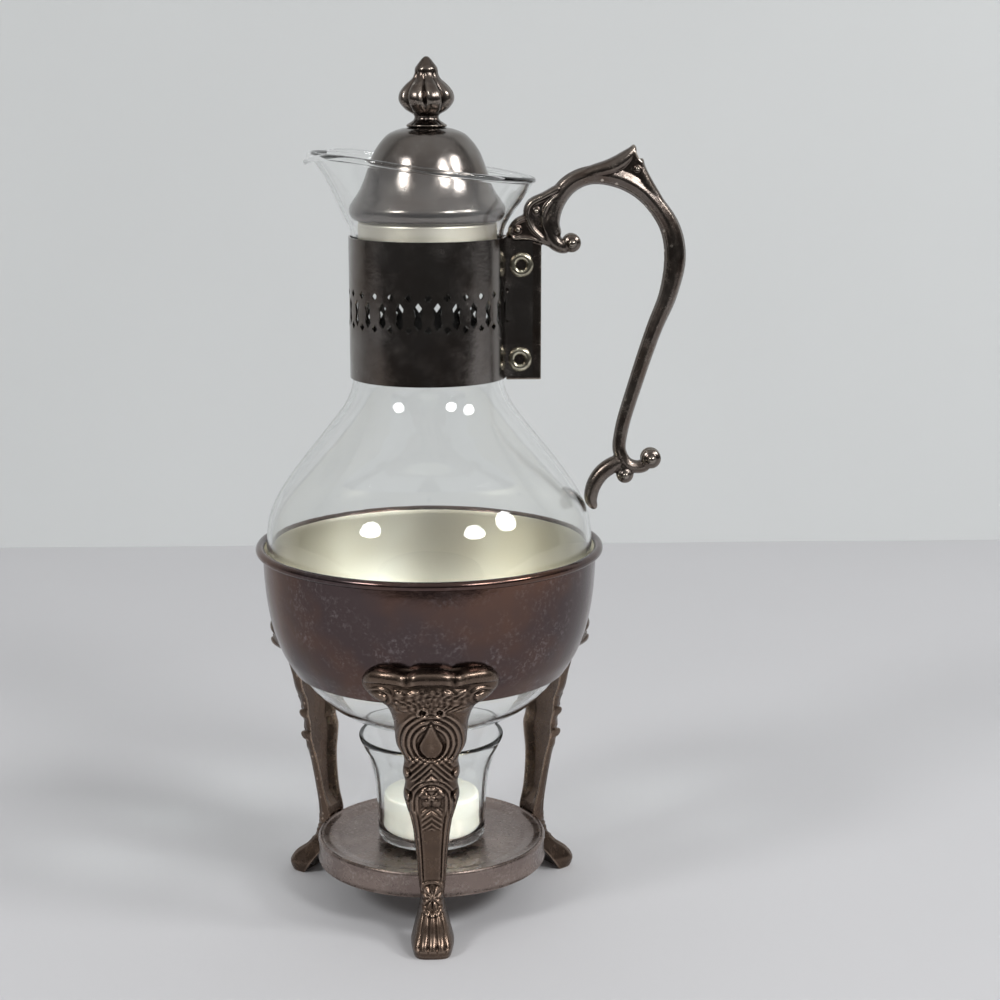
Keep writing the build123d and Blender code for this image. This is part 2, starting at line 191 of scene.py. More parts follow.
# %% [markdown]
# ## The finishes
#
# Tarnish is a thin brown to violet film over silver. It is thickest where nobody polishes, so it has
# patches a few centimetres wide, specks, and bright ridges. All the plated parts share one recipe with
# other colours and amounts, and the castings add the bright ridges through the surface's curvature.

# %% Tarnished silver plate


def tarnished_plate(name, dark, patina, bright, patch_size=28, gloss=0.2, specks=0.35, ridges=0.0):
    """Silver plate under a dark film, with warmer patches and pale specks."""
    finish = Finish(name)
    broad = finish.noise(patch_size, 3, 0.6).clamp(0.42, 0.66)
    drift = finish.noise(patch_size * 3.4, 5, 0.65).clamp(0.45, 0.75)
    fine = finish.noise(patch_size * 26, 6, 0.7)
    body = finish.mix(broad * 0.85, dark, patina)
    body = finish.mix(drift * fine.clamp(0.5, 0.66) * specks, body, bright)
    if ridges:
        worn = finish.edge().clamp(0.505, 0.56) * (0.55 + fine * 0.5)
        sunk = finish.edge().clamp(0.495, 0.44)
        body = finish.mix(sunk * 0.8, body, colour(0.07, 0.05, 0.045))
        body = finish.mix(worn * ridges, body, bright)
    rough = gloss + drift * 0.16 + fine * 0.1
    relief = finish.bump(fine + broad * 2.0, 0.12, 0.0004)
    return finish.set(Base_Color=body, Metallic=1.0, Roughness=rough, Normal=relief)


sheet_plate = tarnished_plate(
    "tarnished_sheet_plate", colour(0.49, 0.47, 0.455), colour(0.40, 0.36, 0.33), colour(0.74, 0.72, 0.69),
    gloss=0.09, specks=0.3,
)
bowl_plate = tarnished_plate(
    "tarnished_bowl_plate", colour(0.33, 0.285, 0.285), colour(0.42, 0.315, 0.265), colour(0.72, 0.68, 0.69),
    patch_size=20, gloss=0.08, specks=0.45,
)
cast_plate = tarnished_plate(
    "tarnished_casting", colour(0.41, 0.38, 0.36), colour(0.36, 0.31, 0.28), colour(0.86, 0.82, 0.77),
    patch_size=60, gloss=0.14, specks=0.3, ridges=0.8,
)
leg_plate = tarnished_plate(
    "tarnished_leg_casting", colour(0.36, 0.305, 0.27), colour(0.42, 0.35, 0.30), colour(0.80, 0.71, 0.64),
    patch_size=60, gloss=0.18, specks=0.25, ridges=0.65,
)
tray_plate = tarnished_plate(
    "tarnished_tray_plate", colour(0.50, 0.445, 0.425), colour(0.60, 0.54, 0.51), colour(0.86, 0.83, 0.80),
    patch_size=30, gloss=0.2, specks=0.7,
)


# %% Bright silver inside the bowl
def brushed_inside():
    """The bowl's inside and the lid's sleeve: still silver, with fine upright brushing and a warm cast."""
    finish = Finish("brushed_silver_inside")
    clouds = finish.noise(16, 3).clamp(0.35, 0.7)
    fine = finish.noise(700, 4, 0.7, finish.stretched((1, 1, 0.12)))
    body = finish.mix(clouds, colour(0.90, 0.86, 0.78), colour(0.96, 0.94, 0.89))
    relief = finish.bump(fine, 0.08, 0.0003)
    return finish.set(Base_Color=body, Metallic=1.0, Roughness=0.36 + clouds * 0.1, Normal=relief)


inside_silver = brushed_inside()


# %% Nickel, steel, wax and wick
def plain_metal(name, tint, rough):
    finish = Finish(name)
    clouds = finish.noise(240, 4)
    body = finish.mix(clouds.clamp(0.35, 0.75), tint, colour(0.45, 0.42, 0.36))
    relief = finish.bump(clouds, 0.1, 0.0002)
    return finish.set(Base_Color=body, Metallic=1.0, Roughness=rough + clouds * 0.12, Normal=relief)


nickel = plain_metal("nickel_eyelet", colour(0.82, 0.80, 0.72), 0.16)
steel = plain_metal("plain_steel", colour(0.66, 0.65, 0.63), 0.3)


def candle_wax():
    finish = Finish("white_wax")
    clouds = finish.noise(60, 4)
    body = finish.mix(clouds.clamp(0.3, 0.8), colour(0.93, 0.92, 0.88), colour(0.86, 0.85, 0.80))
    relief = finish.bump(clouds, 0.2, 0.0006)
    material = finish.set(Base_Color=body, Roughness=0.42 + clouds * 0.1, Normal=relief)
    finish.shader.inputs["Subsurface Weight"].default_value = 0.3
    finish.shader.inputs["Subsurface Radius"].default_value = (0.01, 0.008, 0.006)
    return material


def wick_cotton():
    finish = Finish("wick_cotton")
    twist = finish.noise(1800, 2, 0.5, finish.stretched((1, 1, 0.3)))
    body = finish.mix(twist.clamp(0.35, 0.7), colour(0.85, 0.82, 0.75), colour(0.55, 0.50, 0.43))
    return finish.set(Base_Color=body, Roughness=0.9, Normal=finish.bump(twist, 0.5, 0.0003))


wax = candle_wax()
cotton = wick_cotton()

# %% [markdown]
# ## Clear glass
#
# Glass is a thick wall with an inner and an outer face, so the light bends twice. A lamp's light would
# otherwise stop at the first wall and leave the bowl dark, so rays that look for a lamp pass through a
# Transparent shader. Faint streaks and water marks keep it from looking like empty air.


# %% Glass
def clear_glass(name, tint, marks):
    finish = Finish(name)
    streaks = finish.noise(26, 4, 0.6, finish.stretched((1, 1, 0.5)))
    relief = finish.bump(streaks, 0.05, 0.0006)
    finish.set(
        Base_Color=tint, Roughness=finish.noise(180, 5).clamp(0.56, 0.8) * marks, IOR=1.47,
        Transmission_Weight=1.0, Normal=relief,
    )
    through = finish.node("ShaderNodeBsdfTransparent", inputs={"Color": (0.93, 0.95, 0.94, 1)})
    lamp_ray = finish.node("ShaderNodeLightPath", output="Is Shadow Ray")
    inputs = {0: lamp_ray, 1: Wire(finish, finish.shader.outputs[0]), 2: through}
    mixed = finish.node("ShaderNodeMixShader", inputs=inputs)
    finish.tree.links.new(mixed.socket, finish.tree.nodes["Material Output"].inputs["Surface"])
    return finish.material


bottle_glass = clear_glass("bottle_glass", (0.985, 0.992, 0.988, 1), 0.12)
cup_glass = clear_glass("cup_glass", (0.97, 0.985, 0.978, 1), 0.2)

# %% [markdown]
# ## Mesh helpers
#
# Almost every part here is either turned on a lathe or cast along a curve. One helper draws a smooth
# line through a few stations. Another skins rings of points into a closed mesh. The last ring may join
# the first, each end may get a fan of faces, or a ring of radius 0 closes the end by itself.


# %% Smooth lines and skins
MERGE_DISTANCE = 0.000002


def smooth_line(stations, steps):
    """Points on a smooth curve through the stations, evenly many between each two."""
    given = np.array(stations, float)
    before = np.vstack([2 * given[0] - given[1], given, 2 * given[-1] - given[-2]])
    rows = []
    for i in range(len(given) - 1):
        p0, p1, p2, p3 = before[i : i + 4]
        near = max(np.linalg.norm(p1 - p0), 1e-6) ** 0.5
        span = max(np.linalg.norm(p2 - p1), 1e-6) ** 0.5
        far = max(np.linalg.norm(p3 - p2), 1e-6) ** 0.5
        start = (p1 - p0) / near - (p2 - p0) / (near + span) + (p2 - p1) / span
        end = (p2 - p1) / span - (p3 - p1) / (span + far) + (p3 - p2) / far
        t = np.arange(steps)[:, None] / steps
        rows.append(
            p1 * (2 * t**3 - 3 * t**2 + 1) + start * span * (t**3 - 2 * t**2 + t)
            + p2 * (3 * t**2 - 2 * t**3) + end * span * (t**3 - t**2)
        )
    rows.append(given[-1:])
    return np.vstack(rows)


def skin(name, rows, along=False, caps=False):
    """A mesh from rings of points in mm. along joins the last ring to the first, and caps close the ends."""
    rows = np.asarray(rows, float)
    count, sides = rows.shape[:2]
    points = [tuple(p) for p in (rows.reshape(-1, 3) * MM)]
    faces = []
    for i in range(count if along else count - 1):
        for j in range(sides):
            a = i * sides + j
            b = i * sides + (j + 1) % sides
            c = ((i + 1) % count) * sides + (j + 1) % sides
            d = ((i + 1) % count) * sides + j
            faces.append((a, b, c, d))
    if caps:
        for start in (0, (count - 1) * sides):
            points.append(tuple(np.mean(points[start : start + sides], axis=0)))
            for j in range(sides):
                faces.append((start + j, start + (j + 1) % sides, len(points) - 1))
    return close_mesh(name, points, faces)


def close_mesh(name, points, faces):
    """The mesh as an object, its doubles merged and its faces turned outwards."""
    data = bpy.data.meshes.new(name)
    data.from_pydata(points, [], faces)
    made = bmesh.new()
    made.from_mesh(data)
    bmesh.ops.remove_doubles(made, verts=made.verts, dist=MERGE_DISTANCE)
    bmesh.ops.dissolve_degenerate(made, edges=made.edges, dist=MERGE_DISTANCE)
    bmesh.ops.recalc_face_normals(made, faces=made.faces)
    made.to_mesh(data)
    made.free()
    data.shade_smooth()
    piece = bpy.data.objects.new(name, data)
    bpy.context.scene.collection.objects.link(piece)
    return piece


def dress(piece, material, body, slot, *nodes):
    """Gives a piece its material and its body, and hides the nodes that it stands for. slot is not used."""
    if material is not None:
        piece.data.materials.append(material)
    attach(piece, body)
    if nodes:
        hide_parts(*nodes)
    print(piece.name, len(piece.data.polygons), "faces on", body)
    return piece


def sharpen(piece, degrees=40):
    """Smooth shading that stops at real corners."""
    piece.data.shade_smooth()
    piece.data.set_sharp_from_angle(angle=math.radians(degrees))


def circle_rows(profile, sides, shape=None):
    """Rows of a turned part. shape may change the radius by angle and height."""
    angle = np.linspace(0, 2 * math.pi, sides, endpoint=False)
    rows = []
    for radius, height in profile:
        r = np.full(sides, radius) if shape is None else shape(radius, height, angle)
        rows.append(np.stack([r * np.cos(angle), r * np.sin(angle), np.full(sides, height)], axis=1))
    return np.array(rows)


def inward(profile, wall):
    """The profile moved by wall to the left of the way it runs."""
    line = np.array(profile, float)
    run = np.gradient(line, axis=0)
    run /= np.linalg.norm(run, axis=1)[:, None]
    return line + np.stack([-run[:, 1], run[:, 0]], axis=1) * wall


def joined(name, parts):
    """Several meshes as one object."""
    bpy.ops.object.select_all(action="DESELECT")
    for part in parts:
        part.select_set(True)
    bpy.context.view_layer.objects.active = parts[0]
    bpy.ops.object.join()
    whole = bpy.context.view_layer.objects.active
    whole.name = name
    whole.data.name = name
    return whole


# %% [markdown]
# ## The glass bottle
#
# A blown bottle is a body of revolution as far as its neck. The mouth is then opened out, tilted up
# towards the pouring side, and pulled into a lip. So each ring of the mesh is a circle with four
# numbers: its height, its radius, its tilt, and how far the lip reaches. The rim is fire-polished, so
# it ends in a round bead.

# %% The bottle's rings
GLASS_WALL = 2.0
BODY_STATIONS = [
    (84.0, 0.0), (84.1, 11), (84.4, 20), (87.2, 33), (92.6, 43.5), (100.6, 52.5), (110.0, 58.9),
    (120.0, 63.2),
    (135.0, 67.8), (150.0, 70.9), (165.0, 72.1), (179.0, 70.6), (189.0, 66.2), (202.8, 56.6),
    (211.6, 49.6), (220.6, 42.4), (229.2, 36.2), (236.0, 33.4), (240.6, 32.9), (270.0, 32.9), (301.5, 32.9),
    (305.4, 33.7), (309.0, 35.5),
]
MOUTH_STATIONS = [(317.5, 39.9, 3.5, 0.6), (325.0, 43.6, 6.0, 2.4), (331.6, 46.6, 7.7, 6.2)]
RIM_BEAD = 1.25
LIP_DROOP = 5.5
LIP_SHARPNESS = 7
BEAD_SWEEP = (-0.41, 1.12)
BEAD_STEPS = 12
BEAD_OUT = 0.3
GLASS_SIDES = 160


def glass_ring(height, radius, tilt, lip, droop=0.0):
    """One ring of the bottle, tilted up at the lip side."""
    angle = np.linspace(0, 2 * math.pi, GLASS_SIDES, endpoint=False)
    reach = ((1 - np.cos(angle)) / 2) ** LIP_SHARPNESS
    r = radius + lip * reach
    x = r * np.cos(angle)
    y = r * np.sin(angle)
    slope = math.radians(tilt)
    z = height - x * math.sin(slope) - droop * reach**3
    return np.stack([x * math.cos(slope), y, z], axis=1)


def bottle():
    stations = [(z, r, 0.0, 0.0) for z, r in BODY_STATIONS] + MOUTH_STATIONS
    line = smooth_line(stations, 6)
    inner = inward(line[:, 1::-1], GLASS_WALL)
    inner[0] = (0.0, BODY_STATIONS[0][0] + GLASS_WALL)
    rows = [glass_ring(*station) for station in line[:-1]]
    top_z, top_r, tilt, lip = line[-1]
    for turn in np.linspace(*BEAD_SWEEP, BEAD_STEPS) * math.pi:
        bead_r = top_r - GLASS_WALL / 2 + RIM_BEAD * math.cos(turn) + BEAD_OUT
        rows.append(glass_ring(top_z + RIM_BEAD * math.sin(turn), bead_r, tilt, lip, LIP_DROOP))
    for (z, r, tilt, lip), (inner_r, inner_z) in list(zip(line, inner))[-2::-1]:
        rows.append(glass_ring(inner_z, max(inner_r, 0.0), tilt, lip))
    return skin("glass_bottle", rows)


dress(
    bottle(), bottle_glass, "carafe", "clear_glass",
    "glass_body", "glass_shoulder", "glass_neck", "glass_mouth",
)

# %% [markdown]
# ## The lid
#
# The lid is spun from sheet: a dome, a round bead that sits in the flare of the mouth, and a straight
# sleeve in the neck. It is turned here from one line. The finial is a cast bud of folded petals, so its
# radius also changes with the angle.

# %% Dome, sleeve and finial
LID_WALL = 0.9
DOME_STATIONS = [
    (2.0, 347.6), (8.6, 347.5), (12.5, 346.6), (16.4, 344.9), (19.6, 341.8), (22.6, 337.4), (24.6, 332.8),
    (26.1, 328.4), (27.5, 324.6), (29.6, 320.4), (32.0, 317.0), (33.7, 314.0), (33.5, 311.2),
    (32.1, 309.3), (30.2, 308.6), (29.0, 308.5),
]
SKIRT_RADIUS = 30.0
SKIRT_WALL = 0.8
FINIAL_STATIONS = [
    (0.0, 347.9), (8.4, 347.9), (8.7, 348.5), (7.5, 349.4), (5.5, 350.9), (5.3, 352.5),
    (9.0, 355.1), (11.2, 358.6),
    (10.7, 362.2), (8.3, 365.6), (5.7, 368.2), (4.9, 370.3), (4.8, 372.2), (3.2, 374.6),
    (1.0, 377.0), (0.0, 377.3),
]
PETALS = 8
PETALS_FROM = 353.0
PETALS_TO = 377.0
SKIRT_STRAIGHT = 8


def turned_sheet(name, stations, wall, sides=128, steps=6):
    """A lathe part of even thickness. wall goes to the left of the way the stations run."""
    outer = smooth_line(stations, steps)
    inner = inward(outer, wall)
    return skin(name, circle_rows(list(outer) + list(inner[::-1]), sides), along=True)


def petal_radius(radius, height, angle):
    """The bud's radius: lobes with sharp folds between them, turned a little as they rise."""
    rise = min(max((height - PETALS_FROM) / (PETALS_TO - PETALS_FROM), 0), 1)
    depth = 0.17 * math.sin(math.pi * min(rise * 1.25, 1)) if height > PETALS_FROM else 0.03
    turn = angle * PETALS / 2 + rise * 1.1
    return radius * (1 + depth * 0.5 - depth * 1.6 * (1 - np.abs(np.sin(turn))) ** 2)


dome = turned_sheet("lid_dome_shell", DOME_STATIONS, -LID_WALL)
dress(dome, sheet_plate, "lid", "tarnished_sheet", "lid_dome")
low, high = (corner.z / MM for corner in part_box("lid_skirt"))
skirt_line = [(SKIRT_RADIUS, z) for z in (low, low + SKIRT_STRAIGHT, high - SKIRT_STRAIGHT, high)]
sleeve = turned_sheet("lid_sleeve", skirt_line, SKIRT_WALL)
dress(sleeve, inside_silver, "lid", "tarnished_sheet", "lid_skirt")
finial_rows = circle_rows(smooth_line(FINIAL_STATIONS, 8), 192, petal_radius)
dress(skin("lid_finial_bud", finial_rows), cast_plate, "lid", "tarnished_casting", "lid_finial")

# %% [markdown]
# ## The handle
#
# The scroll handle is a casting. A founder would press clay rolls together and smooth the joins, and
# the mesh is made the same way: bars with tapered ends, a few balls for the scroll eyes, and a plate to
# fill the base. A voxel remesh melts them into one skin, and a light smoothing rounds the joins.

# %% Bars, balls and plates, melted together
HANDLE_VOXEL = 0.42
MELT_STEPS = 3
ARCH_FLUTES = 0.07
FLUTE_COUNT = 8


def bar(stations, flutes=0.0, sides=40, steps=10):
    """A tapered bar in the XZ plane. Each station is x, z, half width and half depth."""
    line = smooth_line(stations, steps)
    place = line[:, :2]
    run = np.gradient(place, axis=0)
    run /= np.linalg.norm(run, axis=1)[:, None]
    side = np.stack([-run[:, 1], run[:, 0]], axis=1)
    travel = np.concatenate([[0], np.cumsum(np.linalg.norm(np.diff(place, axis=0), axis=1))])
    from_end = np.minimum(travel, travel[-1] - travel) / np.maximum(line[:, 2], 0.3)
    round_end = np.sqrt(np.clip(1 - (1 - np.clip(from_end, 0, 1)) ** 2, 0.02, 1))
    angle = np.linspace(0, 2 * math.pi, sides, endpoint=False)
    ripple = 1 - flutes * (0.5 - 0.5 * np.cos(FLUTE_COUNT * angle))
    rows = []
    for (x, z), (sx, sz), (half, deep), end in zip(place, side, line[:, 2:4], round_end):
        across = half * end * ripple * np.sign(np.cos(angle)) * np.abs(np.cos(angle)) ** 0.9
        rows.append(np.stack([x + sx * across, deep * end * ripple * np.sin(angle), z + sz * across], axis=1))
    return skin("bar", rows, caps=True)


def ball(x, y, z, radius, deep=None):
    """A ball, or a round cushion when its depth along Y differs."""
    made = bmesh.new()
    bmesh.ops.create_icosphere(made, subdivisions=4, radius=radius * MM)
    bmesh.ops.scale(made, verts=made.verts, vec=(1, (deep or radius) / radius, 1))
    bmesh.ops.translate(made, verts=made.verts, vec=Vector((x, y, z)) * MM)
    data = bpy.data.meshes.new("ball")
    made.to_mesh(data)
    made.free()
    piece = bpy.data.objects.new("ball", data)
    bpy.context.scene.collection.objects.link(piece)
    return piece


def plate(outline, half_depth):
    """A flat plate in the XZ plane."""
    rows = [[(x, y, z) for x, z in outline] for y in (-half_depth, half_depth)]
    return skin("plate", rows, caps=True)


def melted(name, parts, voxel, steps):
    """The parts as one casting: joined, remeshed in voxels and smoothed."""
    whole = joined(name, parts)
    remesh = whole.modifiers.new("melt", "REMESH")
    remesh.mode = "VOXEL"
    remesh.voxel_size = voxel * MM
    smooth = whole.modifiers.new("smooth", "SMOOTH")
    smooth.factor = 0.5
    smooth.iterations = steps
    solid = bpy.data.meshes.new_from_object(whole.evaluated_get(bpy.context.evaluated_depsgraph_get()))
    whole.modifiers.clear()
    whole.data = solid
    whole.data.name = name
    whole.data.shade_smooth()
    return whole


# %% The scroll handle
ARCH = [
    (56.5, 300.5, 2.4, 3.4), (53.7, 306.5, 3.5, 4.1), (55.0, 315.0, 4.1, 4.2), (60.6, 323.0, 4.2, 4.2),
    (69.6, 327.2, 4.1, 4.2), (81.0, 326.6, 4.5, 4.2), (91.4, 321.6, 4.3, 4.2), (99.4, 313.6, 4.1, 4.2),
    (105.2, 304.0, 4.5, 4.2), (107.3, 292.0, 4.8, 4.2), (104.6, 276.1, 4.1, 4.1), (98.6, 260.7, 3.6, 3.9),
    (91.2, 238.2, 3.3, 3.6), (84.9, 216.0, 3.1, 3.4), (84.2, 206.5, 3.0, 3.4), (87.6, 200.8, 3.0, 3.4),
    (93.0, 199.4, 3.0, 3.4), (97.6, 201.4, 3.2, 3.4),
]
HANDLE_BARS = [
    [(54.2, 312.0, 3.6, 4.0), (52.4, 304.8, 3.7, 4.0), (54.6, 299.2, 3.5, 4.0), (58.2, 296.9, 3.2, 4.0),
     (62.2, 297.4, 3.0, 4.0)],
    [(86.6, 203.0, 2.4, 3.2), (81.6, 200.6, 3.6, 3.8), (76.0, 196.4, 3.6, 3.8), (72.4, 190.0, 3.3, 3.5),
     (71.8, 184.6, 2.8, 3.0), (73.9, 180.4, 1.3, 1.6)],
    [(84.0, 202.0, 2.6, 3.4), (86.4, 198.0, 2.8, 3.6), (87.2, 196.0, 2.8, 3.6)],
    [(62.0, 325.0, 2.6, 3.4), (71.0, 328.4, 3.2, 4.4), (79.0, 330.8, 3.6, 5.0), (85.0, 334.4, 3.2, 4.2),
     (88.2, 338.0, 1.9, 2.8), (88.8, 340.3, 0.7, 1.6)],
    [(103.0, 311.0, 2.2, 2.8), (97.6, 318.8, 2.8, 3.4), (93.6, 325.4, 2.8, 3.6), (92.0, 330.6, 2.0, 3.0),
     (92.3, 334.6, 0.7, 1.4)],
    [(58.0, 322.6, 2.0, 4.0), (50.6, 318.6, 1.8, 4.0), (44.4, 315.2, 1.9, 3.9), (42.9, 310.6, 1.7, 3.8),
     (45.0, 305.0, 1.5, 3.6), (50.0, 300.2, 1.3, 3.4), (55.0, 297.2, 1.1, 3.2)],
    [(57.4, 319.6, 1.6, 4.2), (52.4, 315.6, 1.5, 4.2), (49.8, 309.8, 1.5, 4.0), (51.0, 303.4, 1.3, 3.8),
     (54.4, 299.0, 1.1, 3.6)],
    [(43.4, 309.8, 1.4, 3.4), (38.6, 307.6, 1.5, 3.4), (35.9, 303.8, 1.3, 3.4), (36.8, 300.9, 1.1, 3.4),
     (42.0, 300.8, 1.2, 3.2), (49.0, 299.2, 1.2, 3.0), (55.6, 296.2, 1.1, 3.0)],
    [(44.4, 306.6, 1.0, 3.4), (47.4, 302.6, 1.1, 3.3), (52.6, 299.4, 1.0, 3.2)],
]
SCROLL_EYES = [
    (62.2, 298.4, 4.1, 4.2, 2.0), (98.0, 203.4, 4.5, 4.0, 2.1), (86.6, 196.2, 3.8, 3.6, 1.7),
    (38.8, 304.2, 2.4, 3.0, 1.4), (46.9, 312.2, 1.9, 3.2, 1.2), (90.2, 330.0, 2.4, 3.0, 1.2),
]
BASE_OUTLINE = [
    (35.4, 299.9), (36.4, 303.0), (38.2, 305.8), (41.4, 309.4), (42.6, 313.2), (45.4, 316.4), (48.4, 318.2),
    (52.0, 318.8), (58.0, 320.0), (56.0, 310.0), (54.0, 303.0), (55.0, 298.0), (48.0, 299.9),
]
THUMB_OUTLINE = [
    (72.0, 328.0), (81.0, 333.0), (87.0, 338.0), (89.6, 337.4), (90.8, 334.6), (92.6, 333.0), (94.2, 327.0),
    (99.0, 318.0), (88.0, 322.0),
]
BASE_HALF_DEPTH = 2.6
THUMB_HALF_DEPTH = 2.9
TANG = (34.0, 49.2, 238.9, 302.6, 1.5)


def scroll_handle():
    parts = [bar(ARCH, flutes=ARCH_FLUTES)] + [bar(stations) for stations in HANDLE_BARS]
    parts.append(plate(BASE_OUTLINE, BASE_HALF_DEPTH))
    parts.append(plate(THUMB_OUTLINE, THUMB_HALF_DEPTH))
    for x, z, rim, deep, eye in SCROLL_EYES:
        for side in (-1, 1):
            parts.append(ball(x, side * deep * 0.5, z, rim, deep * 0.62))
            parts.append(ball(x, side * deep, z, eye))
    left, right, low, high, half = TANG
    parts.append(plate([(left, low), (right, low), (right, high), (left, high)], half))
    return melted("scroll_handle", parts, HANDLE_VOXEL, MELT_STEPS)


dress(scroll_handle(), cast_plate, "carafe", "tarnished_casting", "handle")

# %% [markdown]
# ## The pierced neck band
#
# A strip of plated sheet is bent round the neck, with its two ends turned out as flanges for the
# handle. Its piercing repeats 26 times, so Geometry Nodes makes it: a circle of points, one cutter on
# each, turned to face outwards, and a Boolean that cuts them all from the strip. The number of columns,
# the radius and the cutters' heights are inputs of the modifier.

# %% The strip and the cutters
BAND_RADIUS = 33.7
BAND_SHEET = 0.8
BAND_HEIGHTS = (240.6, 301.5)
FLANGE_END = 45.4
FLANGE_TOP = 299.5
FLANGE_Y = 1.9
BAND_COLUMNS = 26
SLOT_HEIGHT = 270.3
DIAMOND_HEIGHTS = (264.6, 278.2)
SLOT_TIP = 5.95
SLOT_WIDE = 1.9
SLOT_WAIST = 1.15
SLOT_SHOULDER = 0.55
DIAMOND_TIP = 1.75
DIAMOND_WIDE = 1.65
CUTTER_DEPTH = 3
BAND_RIVETS = [(40.4, 289.1), (39.8, 248.0)]
RIVET_HOLE = 3.05
DRILL_SIDES = 32
DRILL_REACH = 6


def band_strip():
    """The bent strip, with a soft roll at its upper and lower edges."""
    gap = math.asin((FLANGE_Y + 1.4) / BAND_RADIUS)
    path = [(FLANGE_END - k * (FLANGE_END - BAND_RADIUS - 1.6) / 6, FLANGE_Y) for k in range(6)]
    for angle in np.linspace(gap, 2 * math.pi - gap, 150):
        path.append((BAND_RADIUS * math.cos(angle), BAND_RADIUS * math.sin(angle)))
    path += [(x, -y) for x, y in reversed(path[:6])]
    path = np.array(path)
    run = np.gradient(path, axis=0)
    run /= np.linalg.norm(run, axis=1)[:, None]
    out = np.stack([run[:, 1], -run[:, 0]], axis=1)
    low, high = BAND_HEIGHTS
    half = BAND_SHEET / 2
    section = [
        (half, low), (half, low + 20), (half, high - 20), (half, high), (0, high + 0.02),
        (-half, high), (-half, high - 20), (-half, low + 20), (-half, low), (0, low - 0.02),
    ]
    rows = []
    for (x, y), (ox, oy) in zip(path, out):
        drop = np.clip((x - BAND_RADIUS - 1.0) / 2.0, 0, 1) * (high - FLANGE_TOP)
        rows.append([(x + ox * q, y + oy * q, z - (drop if z > high - 1 else 0)) for q, z in section])
    return skin("neck_band_strip", rows, caps=True)


def cutter(name, outline, half_depth):
    """A prism along X with an outline in Y and Z."""
    rows = [[(x, y, z) for y, z in outline] for x in (-half_depth, half_depth)]
    made = skin(name, rows, caps=True)
    made.data.shade_flat()
    return made


# %% Geometry Nodes: cutters on a circle of points
def piercing_tree(slot, diamond):
    """Three rings of cutters, cut from the strip in one Boolean."""
    tree = bpy.data.node_groups.new("piercing", "GeometryNodeTree")
    face = tree.interface
    for name, kind in (
        ("Geometry", "Geometry"), ("Columns", "Int"), ("Radius", "Float"), ("Slot height", "Float"),
        ("Low diamonds", "Float"), ("High diamonds", "Float"), ("Finish", "Material"),
    ):
        face.new_socket(name, in_out="INPUT", socket_type="NodeSocket" + kind)
    face.new_socket("Geometry", in_out="OUTPUT", socket_type="NodeSocketGeometry")
    given = tree.nodes.new("NodeGroupInput")

    def add(kind, **links):
        made = tree.nodes.new(kind)
        for name, value in links.items():
            socket = made.inputs[name.replace("_", " ")]
            if hasattr(value, "is_output"):
                tree.links.new(value, socket)
            else:
                socket.default_value = value
        return made

    half_pitch = add("ShaderNodeMath", Value=math.pi)
    half_pitch.operation = "DIVIDE"
    tree.links.new(given.outputs["Columns"], half_pitch.inputs[1])
    rings = []
    for shape, height, shifted in (
        (slot, "Slot height", False), (diamond, "Low diamonds", True), (diamond, "High diamonds", True),
    ):
        circle = add(
            "GeometryNodeMeshCircle", Vertices=given.outputs["Columns"], Radius=given.outputs["Radius"],
        )
        lift = add("ShaderNodeCombineXYZ", Z=given.outputs[height])
        spin = add("ShaderNodeCombineXYZ")
        if shifted:
            tree.links.new(half_pitch.outputs[0], spin.inputs["Z"])
        placed = add(
            "GeometryNodeTransform", Geometry=circle.outputs["Mesh"], Translation=lift.outputs[0],
            Rotation=spin.outputs[0],
        )
        where = add("GeometryNodeInputPosition")
        level = add("ShaderNodeVectorMath", Vector=where.outputs[0])
        level.operation = "MULTIPLY"
        level.inputs[1].default_value = (1, 1, 0)
        facing = add("FunctionNodeAlignRotationToVector", Vector=level.outputs[0])
        facing.axis = "X"
        source = add("GeometryNodeObjectInfo", Object=shape)
        ring = add(
            "GeometryNodeInstanceOnPoints", Points=placed.outputs[0], Instance=source.outputs["Geometry"],
            Rotation=facing.outputs[0],
        )
        rings.append(ring.outputs[0])
    together = add("GeometryNodeJoinGeometry")
    for ring in reversed(rings):
        tree.links.new(ring, together.inputs[0])
    real = add("GeometryNodeRealizeInstances", Geometry=together.outputs[0])
    cut = add("GeometryNodeMeshBoolean")
    cut.operation = "DIFFERENCE"
    cut.solver = "EXACT"
    tree.links.new(given.outputs["Geometry"], cut.inputs["Mesh 1"])
    tree.links.new(real.outputs[0], cut.inputs["Mesh 2"])
    solid = add("GeometryNodeRealizeInstances", Geometry=cut.outputs["Mesh"])
    painted = add("GeometryNodeSetMaterial", Geometry=solid.outputs[0], Material=given.outputs["Finish"])
    result = tree.nodes.new("NodeGroupOutput")
    tree.links.new(painted.outputs[0], result.inputs["Geometry"])
    return tree


